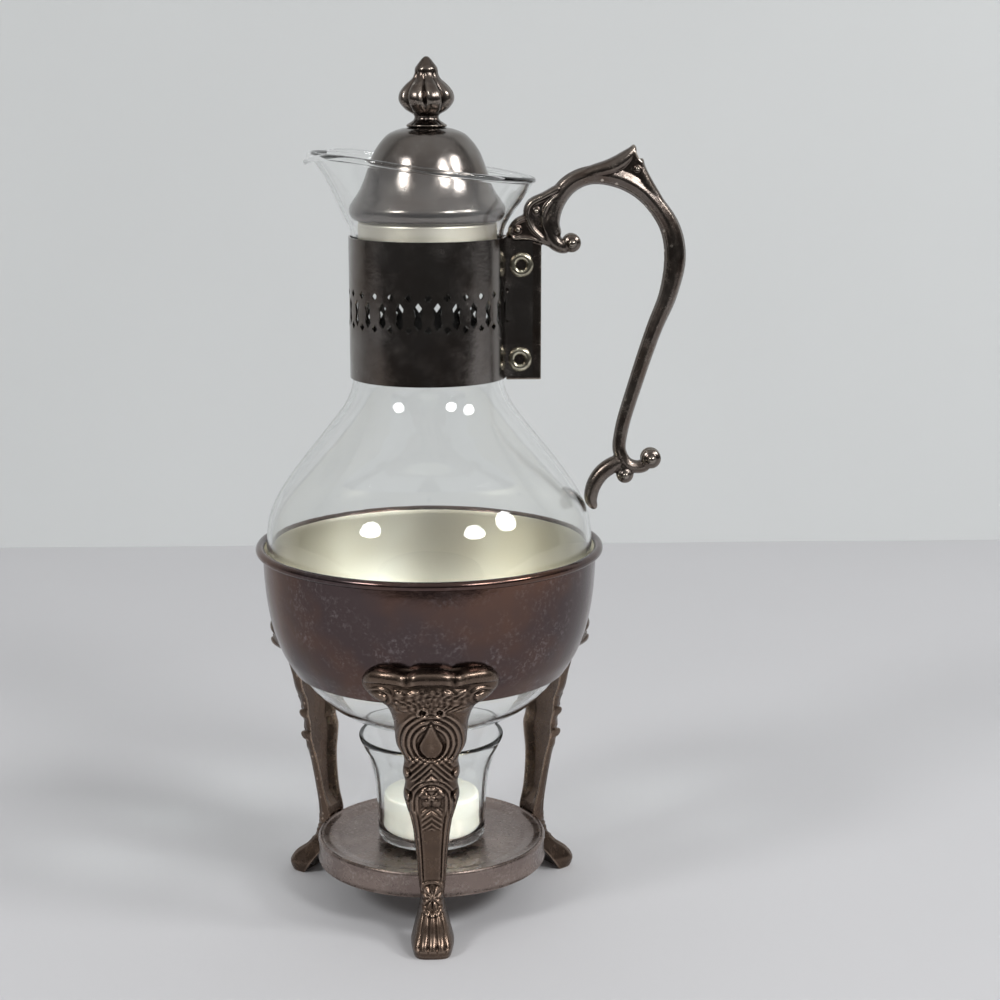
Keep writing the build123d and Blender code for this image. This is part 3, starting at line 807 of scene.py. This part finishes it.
def pierced_band():
    strip = band_strip()
    tip, wide, waist = SLOT_TIP, SLOT_WIDE, SLOT_WAIST
    shoulder = tip * SLOT_SHOULDER
    slot = cutter("slot_cutter", [
        (0, tip), (wide, shoulder), (waist, 0), (wide, -shoulder),
        (0, -tip), (-wide, -shoulder), (-waist, 0), (-wide, shoulder),
    ], CUTTER_DEPTH)
    diamond = cutter("diamond_cutter", [
        (0, DIAMOND_TIP), (DIAMOND_WIDE, 0), (0, -DIAMOND_TIP), (-DIAMOND_WIDE, 0),
    ], CUTTER_DEPTH)
    modifier = strip.modifiers.new("piercing", "NODES")
    modifier.node_group = piercing_tree(slot, diamond)
    values = {
        "Columns": BAND_COLUMNS, "Radius": BAND_RADIUS * MM, "Slot height": SLOT_HEIGHT * MM,
        "Low diamonds": DIAMOND_HEIGHTS[0] * MM, "High diamonds": DIAMOND_HEIGHTS[1] * MM,
        "Finish": sheet_plate,
    }
    for item in modifier.node_group.interface.items_tree:
        if item.in_out == "INPUT" and item.name in values:
            modifier[item.identifier] = values[item.name]
    for x, z in BAND_RIVETS:
        hole = strip.modifiers.new("rivet_hole", "BOOLEAN")
        hole.operation = "DIFFERENCE"
        hole.object = rivet_drill(x, z)
    cut = bpy.data.meshes.new_from_object(strip.evaluated_get(bpy.context.evaluated_depsgraph_get()))
    drills = [each.object for each in strip.modifiers if each.type == "BOOLEAN"]
    strip.modifiers.clear()
    strip.data = cut
    for tool in [slot, diamond] + drills:
        bpy.data.objects.remove(tool)
    strip.name = "pierced_neck_band"
    sharpen(strip, 30)
    return strip


def rivet_drill(x, z):
    """A round cutter along Y for a rivet's hole through both flanges."""
    angle = np.linspace(0, 2 * math.pi, DRILL_SIDES, endpoint=False)
    across = x + RIVET_HOLE * np.cos(angle)
    up = z + RIVET_HOLE * np.sin(angle)
    rows = [np.stack([across, np.full(DRILL_SIDES, y), up], axis=1) for y in (-DRILL_REACH, DRILL_REACH)]
    return skin("rivet_drill", rows, caps=True)


dress(pierced_band(), None, "carafe", "tarnished_sheet", "neck_band")

# %% [markdown]
# ## The stand's bowl
#
# One sheet again, open at the bottom, with a rolled rim. The outside is dark and the inside bright, so
# the faces that look towards the axis get the second material.

# %% Bowl with a rolled rim
BOWL_WALL = 0.9
BOWL_STATIONS = [
    (60.9, 109.6), (62.9, 112.8), (66.2, 118.6), (69.9, 128.6), (72.2, 140.0), (73.3, 150.0), (73.7, 158.0),
    (73.7, 163.0),
]
RIM_RADIUS = 75.0
RIM_TUBE = 2.0
RIM_HEIGHT = 164.5
RIM_SWEEP = (-0.55, 0.92)
RIM_STEPS = 18


def bowl():
    outer = smooth_line(BOWL_STATIONS, 8)
    inner = inward(outer, BOWL_WALL)
    roll = []
    for turn in np.linspace(*RIM_SWEEP, RIM_STEPS) * math.pi:
        roll.append((RIM_RADIUS + RIM_TUBE * math.cos(turn), RIM_HEIGHT + RIM_TUBE * math.sin(turn)))
    profile = list(outer) + roll + list(inner[::-1])
    piece = skin("warmer_bowl", circle_rows(profile, 192), along=True)
    piece.data.materials.append(bowl_plate)
    piece.data.materials.append(inside_silver)
    for face in piece.data.polygons:
        out = Vector((face.center.x, face.center.y, 0)).normalized()
        if face.normal.dot(out) < -0.2 and face.center.z < (RIM_HEIGHT - 0.5) * MM:
            face.material_index = 1
    return piece


dress(bowl(), None, "stand", "tarnished_sheet", "stand_bowl")

# %% [markdown]
# ## The cast legs
#
# The three legs come from one mould. Each is a shell: a decorated front over a hollow back. The front
# is a height field. For every point at a distance t from the leg's middle line and a height z, the
# relief is a sum of simple forms: ridges are cosines of a distance, petals are cosines of an angle, and
# bosses are round bumps. The sum is added to the leg's side profile.

# %% The leg's outline and side profile
LEG_OUTER = [
    (0, 74.8), (4.4, 75.4), (9.0, 72.4), (13.6, 66.4), (21.0, 61.2), (32.0, 59.6), (46.0, 61.0),
    (62.0, 63.4),
    (76.0, 65.4), (90.0, 67.4), (100.0, 69.6), (110.0, 73.0), (120.0, 75.0), (128.4, 74.0),
]
LEG_INNER = [
    (0, 65.6), (3.0, 63.4), (10.4, 58.0), (16.4, 52.6), (22.0, 51.4), (30.6, 51.9), (40.0, 54.4),
    (60.0, 57.4),
    (78.0, 59.4), (94.0, 61.4), (106.0, 63.2), (116.0, 64.6), (128.4, 69.6),
]
LEG_WIDTH = [
    (0, 8.2), (3.0, 9.1), (5.0, 9.3), (10.0, 7.9), (19.0, 5.3), (30.0, 6.2), (44.0, 7.1), (57.0, 8.8),
    (64.6, 11.0), (69.6, 12.0), (75.0, 11.2), (79.6, 12.2), (86.0, 11.6), (92.0, 14.6),
    (98.0, 15.4), (103.0, 15.8),
    (109.6, 18.4), (112.6, 22.0), (116.0, 26.8), (119.0, 28.6), (122.0, 28.9), (125.0, 28.0), (127.0, 26.0),
    (128.4, 22.0),
]
TRAY_CLEAR = 51.9
TRAY_TOP = 31.5
BOWL_CLEAR = 0.15
LEG_TOP = 128.4
LEG_ROWS = 330
LEG_FRONT = 100
LEG_BACK = 26


def by_height(stations, z):
    """A smooth value by height."""
    line = smooth_line(stations, 8)
    return np.interp(z, line[:, 0], line[:, 1])


def bump(t, z, place, size, tilt=0.0):
    """A round boss, 1 in its middle and 0 outside. size is its half width and half height."""
    turn = math.radians(tilt)
    dt = (t - place[0]) * math.cos(turn) + (z - place[1]) * math.sin(turn)
    dz = (z - place[1]) * math.cos(turn) - (t - place[0]) * math.sin(turn)
    return np.sqrt(np.clip(1 - (dt / size[0]) ** 2 - (dz / size[1]) ** 2, 0, 1))


def window(value, low, high, soft):
    """1 between low and high, falling smoothly to 0 outside."""
    return np.clip((value - low) / soft + 0.5, 0, 1) * np.clip((high - value) / soft + 0.5, 0, 1)


def ridges(distance, pitch, sharp=1.0):
    """Rounded ridges with narrow valleys, from 0 to 1."""
    return np.abs(np.cos(math.pi * distance / pitch)) ** sharp


def petals(t, z, place, radius, count):
    """A flower: a round button with petals round it."""
    dt = t - place[0]
    dz = z - place[1]
    far = np.hypot(dt, dz) / radius
    lobe = np.abs(np.cos(np.arctan2(dt, dz) * count / 2))
    leaf = np.clip(1 - far / (0.72 + 0.28 * lobe), 0, 1) ** 0.4 * (0.45 + 0.55 * lobe**0.8)
    button = np.sqrt(np.clip(1 - (far / 0.28) ** 2, 0, 1))
    return leaf * (0.55 + 0.45 * np.clip(far * 2.2, 0, 1)) + button * 0.5


def teardrop(t, z):
    """Distance outside the cabochon: round below, pointed above."""
    dz = z - CABOCHON[1]
    narrow = 1 + np.clip(dz / CABOCHON[2], 0, 2) ** 1.5 * 0.75
    reach = np.where(dz > 0, CABOCHON[3], CABOCHON[2])
    return (np.sqrt((t * narrow / CABOCHON[0]) ** 2 + (dz / reach) ** 2) - 1) * CABOCHON[0]


# %% The relief of the leg's front
CABOCHON = (5.4, 93.4, 6.2, 11.0)
CURLS = [(11.6, 79.8, 2.3), (11.3, 69.4, 2.4)]
FLOWER = (0, 69.4)
RAYED = (0, 22.6)


def leg_relief(t, z):
    """Height of the ornament over the plain casting, in mm."""
    a = np.abs(t)
    high = np.zeros_like(t)
    between = 0.3 + 0.7 * window(np.abs(a - 10.0), 1.2, 99, 2.4)
    rolls = np.sqrt(np.clip(1 - ((z - 125.0) / 3.1) ** 2, 0, 1)) * between
    high += rolls * 2.2
    high += bump(a, z, (22.0, 115.4), (6.4, 5.0), -14) * 1.5
    high += bump(a, z, (22.4, 115.4), (4.2, 3.0), -14) * 1.5
    high -= window(np.hypot(a - 22.4, (z - 115.4) * 1.35), 4.0, 5.0, 0.7) * 0.7

    fan = window(z, 109.5, 120.2, 2.0) * window(a, -1, 15.5, 2.4)
    spread = np.degrees(np.arctan2(t, z - 103.5))
    feather = ridges(spread + 3.0 * np.sin(z * 1.1), 11.0, 0.6)
    high += fan * (feather * 1.1 - 0.2)
    high += fan * np.sin(z * 2.6 + a * 0.9) * 0.14
    for middle, size in ((7.4, 2.2), (13.0, 2.0)):
        high += bump(a, z, (middle, 118.6), (size, 1.5)) * 0.8

    eye = np.hypot(a - 3.6, z - 109.6)
    high += window(eye, 1.4, 2.6, 0.7) * 0.9 - np.sqrt(np.clip(1 - (eye / 1.3) ** 2, 0, 1)) * 1.1
    out = teardrop(t, z)
    ring = np.hypot(t * np.where(z < 93, 1 + (93 - z) * 0.012, 1), (z - 94.5) * 0.93)
    hoop = window(ring, 5.9, 15.4, 0.8) * window(z, 85.5, 109.0, 2.0) * window(out, 0.5, 99, 0.6)
    high += hoop * (ridges(ring - 7.2, 2.35, 0.7) * 1.35 - 0.35)
    drop = np.sqrt(np.clip(-out / CABOCHON[0], 0, 1))
    high += drop * 2.3 - window(out, -0.5, 0.6, 0.5) * 0.5

    chevron = z + a * 0.95
    ogee = window(z, 76.5, 88.0, 2.0) * window(a, -1, 9.5, 1.6)
    high += ogee * (ridges(chevron - 87.2, 2.9, 0.7) * 1.1 - 0.3)
    for across, height, size in CURLS:
        curl = np.hypot(a - across, z - height)
        high += np.sqrt(np.clip(1 - (curl / size) ** 2, 0, 1)) * 2.4
        high -= window(curl, size, size + 0.9, 0.6) * 0.6

    from_flower = np.where(z > FLOWER[1] - 2, np.hypot(t, z - FLOWER[1] + 2), a)
    arches = window(from_flower, 5.4, 10.8, 0.8) * window(z, 61.5, 79.0, 3.0)
    high += arches * (ridges(from_flower - 6.3, 2.15, 0.7) * 1.0 - 0.25)
    high += petals(t, z, FLOWER, 5.6, 5) * 2.3

    shin = window(z, 29.0, 63.0, 4.0)
    share = a / by_height(LEG_WIDTH, z)
    strip = window(share, -1, 0.5, 0.1)
    high += shin * (strip * 0.9 + (1 - strip) * (ridges(share - 0.5, 0.235, 0.8) * 0.9 - 0.2))
    high += window(z, 54.0, 64.0, 1.5) * window(a, -1, 4.4, 0.8) * (ridges(z + a * 0.8, 2.6, 0.8) * 0.7 - 0.2)
    high += petals(t, z, RAYED, 5.6, 9) * 1.7
    cuff = window(np.hypot(t, z - RAYED[1]), 5.6, 7.2, 0.7)
    high += cuff * 0.7

    toes = window(z, 3.6, 16.5, 2.4)
    high += toes * (ridges(share, 0.42, 0.45) * 1.7 - 0.9)
    high += window(z, 1.0, 4.4, 1.0) * 0.5
    return high


def leg_rows():
    """Closed loops round the front leg, from its sole up, as x, y, z."""
    heights = np.linspace(0, LEG_TOP, LEG_ROWS)
    outer = by_height(LEG_OUTER, heights)
    inner = by_height(LEG_INNER, heights)
    bowl_side = np.interp(heights, [z for r, z in BOWL_STATIONS], [r for r, z in BOWL_STATIONS], left=0)
    inner = np.maximum(inner, bowl_side + BOWL_CLEAR)
    inner = np.where(heights < TRAY_TOP, np.maximum(inner, TRAY_CLEAR), inner)
    width = by_height(LEG_WIDTH, heights)
    close_top = np.sqrt(np.clip(1 - np.clip((heights - 126.6) / 1.85, 0, 1) ** 2, 0.01, 1))
    front = np.sin(np.linspace(-0.5, 0.5, LEG_FRONT) * math.pi)
    back = np.linspace(1, -1, LEG_BACK)[1:-1]
    rows = []
    for z, r_out, r_in, half, top in zip(heights, outer, inner, width, close_top):
        t = front * half
        body = 1 - np.abs(front) ** 5
        relief = leg_relief(t, np.full_like(t, z)) * np.sqrt(np.clip(1 - np.abs(front) ** 10, 0, 1))
        thick = (r_out - 1.2 - r_in) * np.sqrt(body) + relief
        r = r_in + np.maximum(thick * top, 0.12)
        hollow = np.clip((1 - np.abs(back)) * half - 1.6, 0, 2.4)
        hollow = hollow * min(1, max(0, (z - 34) / 6), max(0, (108 - z) / 6))
        t_back = back * half
        r_back = r_in + np.minimum(hollow, (r_out - r_in) * 0.45)
        wave = ridge_top(t, z)
        wave_back = ridge_top(t_back, z)
        loop = [(x, -math.sqrt(max(q * q - x * x, 1)), h) for x, q, h in zip(t, r, wave)]
        loop += [(x, -math.sqrt(max(q * q - x * x, 1)), h) for x, q, h in zip(t_back, r_back, wave_back)]
        rows.append(loop)
    return np.array(rows)


def ridge_top(t, z):
    """The head's upper edge dips between its three rolls."""
    dip = 1.5 * np.exp(-(((np.abs(t) - 10.2) / 3.4) ** 2)) + 1.6 * np.clip((np.abs(t) - 20) / 9, 0, 1) ** 2
    return z - dip * max(0.0, (z - 112) / 16.4)


def turned_rows(rows, degrees):
    """The loops turned about the stand's axis."""
    c = math.cos(math.radians(degrees))
    s = math.sin(math.radians(degrees))
    x, y, z = rows[..., 0], rows[..., 1], rows[..., 2]
    return np.stack([x * c - y * s, x * s + y * c, z], axis=-1)


front_rows = leg_rows()
for leg_name, azimuth in (("front_leg", 0), ("right_leg", 120), ("left_leg", 240)):
    leg = skin(leg_name + "_casting", turned_rows(front_rows, azimuth), caps=True)
    dress(leg, leg_plate, "stand", "tarnished_casting", leg_name)

# %% [markdown]
# ## The burner tray
#
# An inverted dish: a beaded edge, a flat ring, a sloping step and a sunk middle that keeps the candle
# cup in place.

# %% Tray
TRAY_PROFILE = [
    (0.0, 28.4), (20, 28.4), (42.0, 28.4), (43.0, 28.5), (46.5, 29.5), (47.4, 29.6), (49.2, 29.6),
    (49.7, 29.75), (50.2, 30.0), (50.8, 30.05), (51.4, 29.8), (51.8, 29.1), (51.8, 28.2), (51.5, 27.4),
    (51.4, 26.8), (51.4, 22.0), (51.5, 20.0), (51.8, 19.3), (51.6, 18.9), (50.8, 19.1),
    (50.6, 20.0), (50.5, 26.0),
    (50.0, 28.2), (47.0, 28.5), (46.4, 28.4), (43.2, 27.5), (42.4, 27.4), (20, 27.4), (0.0, 27.4),
]
tray = skin("burner_tray_dish", circle_rows(TRAY_PROFILE, 160))
dress(tray, tray_plate, "stand", "tarnished_sheet", "burner_tray")
sharpen(tray, 35)

# %% [markdown]
# ## The candle cup
#
# A thick pressed glass with a heavy foot and a flared rim, and a white candle in it.

# %% Cup, candle and wick
CUP_OUTER = [
    (0.0, 28.45), (18.0, 28.45), (22.6, 28.8), (24.2, 30.4), (24.4, 34.0), (24.7, 40.0),
    (25.3, 52.0), (26.6, 61.0),
    (28.8, 67.8), (31.4, 73.4), (32.6, 76.6), (32.4, 77.7), (31.4, 77.7), (30.5, 76.4), (28.9, 72.6),
    (26.8, 67.8), (24.6, 61.0), (23.3, 52.0), (22.7, 40.0), (22.3, 34.4), (21.0, 32.5),
    (12.0, 32.4), (0.0, 32.4),
]
dress(
    skin("candle_cup_glass", circle_rows(smooth_line(CUP_OUTER, 4), 128)), cup_glass, "cup", "clear_glass",
    "candle_cup",
)
CANDLE_PROFILE = [
    (0.9, 34.0), (6.5, 33.2), (21.0, 32.7), (21.5, 33.4), (21.6, 40.0), (21.6, 48.6), (21.2, 49.6),
    (20.2, 50.0),
    (14.0, 49.6), (6.0, 49.0), (2.4, 48.9), (1.0, 49.4), (0.9, 45.0),
]
candle = skin("candle_wax", circle_rows(smooth_line(CANDLE_PROFILE, 4), 96), along=True)
dress(candle, wax, "candle", "wax", "candle")

# %% [markdown]
# ## Materials for the parts that keep their engineering shape

# %% Carried-over parts
for node, material in {
    "wick": cotton, "wick_tab": steel, "finial_washer": steel, "finial_nut": steel,
    "bowl_rivets": nickel, "tray_screws": steel, "upper_rivet": nickel, "lower_rivet": nickel,
}.items():
    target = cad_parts[node]
    target.data.materials.clear()
    target.data.materials.append(material)

# %% [markdown]
# ## The studio
#
# A pale table meets a pale wall 0.7 m behind the object, as in the picture. The light comes from three
# round lamps, high and in front, which is why the glass carries small white ovals. Low down the room is
# dim, so the plated metal reflects darkness there and stays nearly black, with bright edges. Table and
# wall are clear from their back side, so a camera behind the wall still sees the object.

# %% Floor, wall and light
FLOOR_COLOUR = colour(0.80, 0.80, 0.81)
WALL_COLOUR = colour(0.85, 0.86, 0.86)
WALL_PLACE = 0.70
FLOOR_FRONT = -0.62
STAGE_HALF = 3
STAGE_TOP = 3


def stage_sheet(name, corners, tint):
    """A matt sheet that is clear from behind, so a view from past it still shows the object."""
    data = bpy.data.meshes.new(name)
    data.from_pydata(corners, [], [(0, 1, 2, 3)])
    sheet = bpy.data.objects.new(name, data)
    bpy.context.scene.collection.objects.link(sheet)
    finish = Finish(name + "_paint")
    cloud = finish.noise(3, 2).clamp(0.3, 0.7)
    tone = finish.mix(cloud * 0.25, tint, tuple(0.88 * part for part in tint[:3]) + (1,))
    solid = 1.0 - finish.node("ShaderNodeNewGeometry", output="Backfacing")
    sheet.data.materials.append(finish.set(Base_Color=tone, Roughness=0.75, Alpha=solid))
    sheet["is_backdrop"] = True


stage_sheet("floor", [
    (-STAGE_HALF, FLOOR_FRONT, 0), (STAGE_HALF, FLOOR_FRONT, 0),
    (STAGE_HALF, WALL_PLACE, 0), (-STAGE_HALF, WALL_PLACE, 0),
], FLOOR_COLOUR)
stage_sheet("wall", [
    (-STAGE_HALF, WALL_PLACE, 0), (STAGE_HALF, WALL_PLACE, 0),
    (STAGE_HALF, WALL_PLACE, STAGE_TOP), (-STAGE_HALF, WALL_PLACE, STAGE_TOP),
], WALL_COLOUR)


def round_lamp(name, place, aim, size, power):
    data = bpy.data.lights.new(name, "AREA")
    data.shape = "DISK"
    data.size = size
    data.energy = power
    lamp = bpy.data.objects.new(name, data)
    lamp.location = place
    lamp.rotation_euler = (Vector(aim) - Vector(place)).to_track_quat("-Z", "Y").to_euler()
    bpy.context.scene.collection.objects.link(lamp)


LAMPS = [(-1.37, -1.23, 1.45), (1.08, -1.49, 1.45), (1.66, -0.75, 1.5)]
LAMP_AIM = (0, 0.15, 0.1)
LAMP_SIZE = 0.55
LAMP_POWER = 16
ROOM_LOW = 0.07
ROOM_HIGH = 0.55
ROOM_HIGH_AT = 0.9
for count, place in enumerate(LAMPS):
    round_lamp(f"round_lamp_{count + 1}", place, LAMP_AIM, LAMP_SIZE, LAMP_POWER)

world = bpy.data.worlds.new("room")
world.use_nodes = True
bpy.context.scene.world = world
sky = world.node_tree
direction = sky.nodes.new("ShaderNodeTexCoord")
height = sky.nodes.new("ShaderNodeSeparateXYZ")
ramp = sky.nodes.new("ShaderNodeMapRange")
ramp.inputs["From Min"].default_value = 0.0
ramp.inputs["From Max"].default_value = ROOM_HIGH_AT
ramp.inputs["To Min"].default_value = ROOM_LOW
ramp.inputs["To Max"].default_value = ROOM_HIGH
sky.links.new(direction.outputs["Generated"], height.inputs[0])
sky.links.new(height.outputs["Z"], ramp.inputs["Value"])
sky.links.new(ramp.outputs["Result"], sky.nodes["Background"].inputs["Strength"])
sky.nodes["Background"].inputs["Color"].default_value = (1.0, 0.99, 0.98, 1)

# %% Sizes, then the end
low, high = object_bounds()
